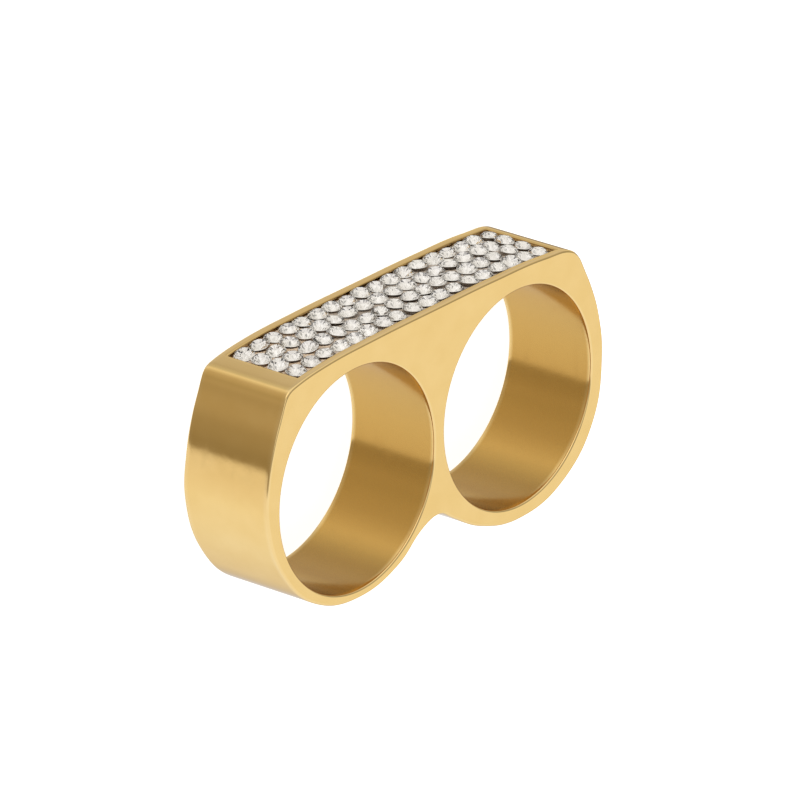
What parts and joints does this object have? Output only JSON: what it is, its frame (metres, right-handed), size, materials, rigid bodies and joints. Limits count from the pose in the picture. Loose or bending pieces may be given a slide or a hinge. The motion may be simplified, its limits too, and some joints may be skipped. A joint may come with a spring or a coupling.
{
  "type": "two finger ring",
  "caption": "Gold-coloured ring for two fingers, with a domed bar top that holds a sunk tray paved with small clear round stones.",
  "frame": {"origin": "below the middle of the ring's box, on the plane that its flat back face rests on", "axes": "+Z along both finger bores, out of the front face; +Y towards the paved top; +X along the row of fingers"},
  "size_m": [0.0456, 0.0238, 0.0095],
  "materials": {
    "gold_plate": "polished gold plating over steel",
    "stone_bed": "beige setting resin",
    "crystal": "faceted clear crystal, foiled behind"
  },
  "bodies": {
    "root": {"ring_body": "gold_plate", "pave_bed": "stone_bed"}
  },
  "joints": []
}
